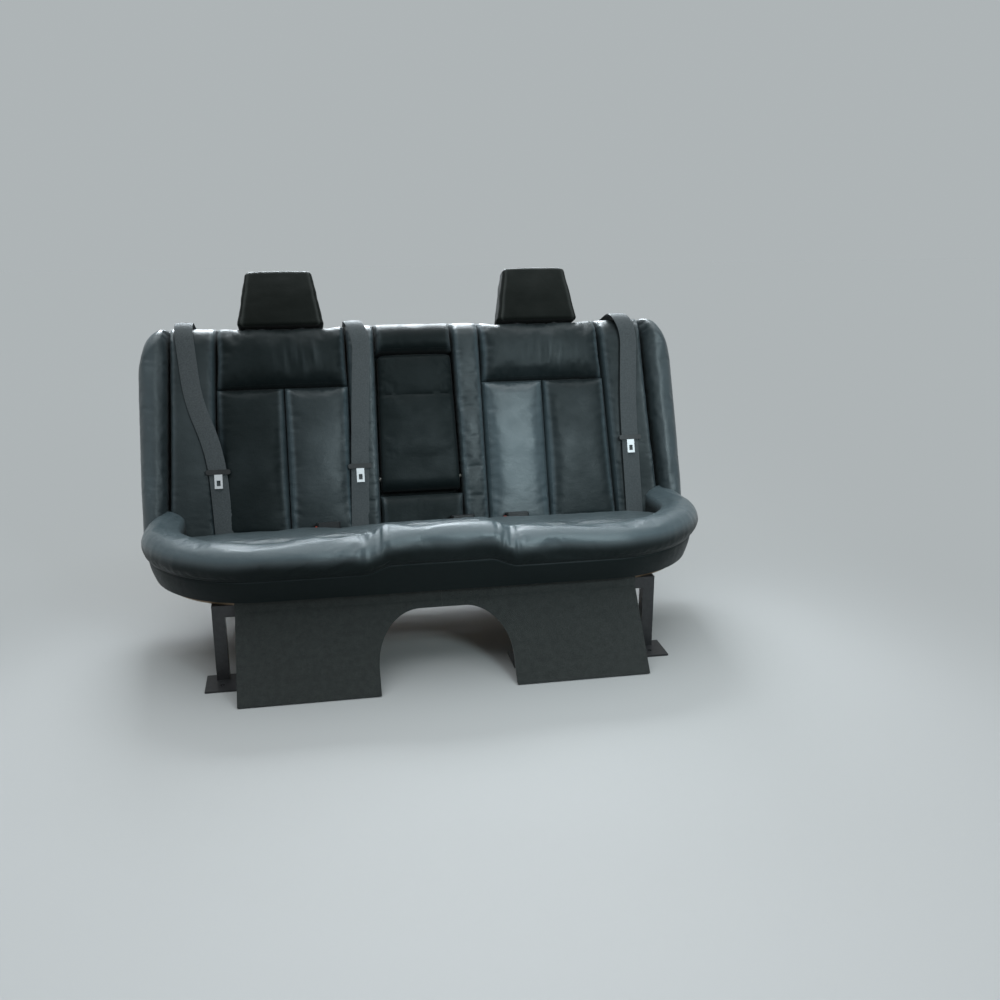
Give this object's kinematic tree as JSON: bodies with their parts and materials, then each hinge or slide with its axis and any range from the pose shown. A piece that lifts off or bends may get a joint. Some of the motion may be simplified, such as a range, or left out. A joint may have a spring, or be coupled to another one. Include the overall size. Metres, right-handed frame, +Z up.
{
  "type": "rear bench seat",
  "caption": "Leather rear bench for a stretched saloon, with a folding centre armrest, sliding headrests, lap and shoulder belts, and a bolted tube frame.",
  "frame": {"origin": "on the floor, at the centre of the four outer floor bolts", "axes": "+X to the right seen from the front, +Y to the rear of the car, +Z up; the seat faces -Y"},
  "size_m": [1.4806, 0.851, 0.9314],
  "materials": {
    "leather": "worn black hide with a blue-green cast, satin",
    "headrest_leather": "matt charcoal hide, fine grain",
    "webbing": "grey-brown woven polyester",
    "carpet": "dark green-black looped pile",
    "frame_paint": "black powder coat",
    "plywood": "birch plywood, unfinished",
    "dark_plastic": "moulded, fine texture",
    "red_plastic": "moulded red",
    "bright_steel": "plated",
    "zinc_steel": "zinc plated pressing"
  },
  "bodies": {
    "bench": {"floor_legs": "frame_paint", "front_rail": "frame_paint", "rear_rail": "frame_paint", "cross_rails": "frame_paint", "back_uprights": "frame_paint", "top_rail": "frame_paint", "seat_deck": "plywood", "back_board": "plywood", "riser_left": "carpet", "riser_right": "carpet", "cushion": "leather", "back_left": "leather", "back_right": "leather", "wing_left": "leather", "wing_right": "leather", "bolster_left": "leather", "bolster_right": "leather", "center_head": "leather", "center_foot": "leather", "center_stile_left": "leather", "center_stile_right": "leather", "niche_pad": "leather", "headrest_guides": "dark_plastic", "armrest_bracket": "zinc_steel", "lap_anchors": "zinc_steel", "belt_left": "webbing", "belt_center": "webbing", "belt_right": "webbing", "buckle_straps": "webbing", "belt_retractors": "dark_plastic", "tongue_grips": "dark_plastic", "buckle_housings": "dark_plastic", "buckle_buttons": "red_plastic", "tongue_blades": "bright_steel"},
    "headrest_left": {"headrest_pad_left": "headrest_leather", "headrest_posts_left": "bright_steel"},
    "headrest_right": {"headrest_pad_right": "headrest_leather", "headrest_posts_right": "bright_steel"},
    "armrest": {"armrest_pad": "leather", "armrest_pin": "zinc_steel"}
  },
  "joints": [
    {"name": "armrest_fold", "type": "hinge", "parent": "bench", "child": "armrest", "pos_m": [0, 0.1909, 0.37536], "axis": [1, 0, 0], "range_deg": [0, 105]},
    {"name": "headrest_left_slide", "type": "slide", "parent": "bench", "child": "headrest_left", "axis": [0, 0.342, 0.9397], "range_m": [0, 0.06]},
    {"name": "headrest_right_slide", "type": "slide", "parent": "bench", "child": "headrest_right", "axis": [0, 0.342, 0.9397], "range_m": [0, 0.06]}
  ]
}
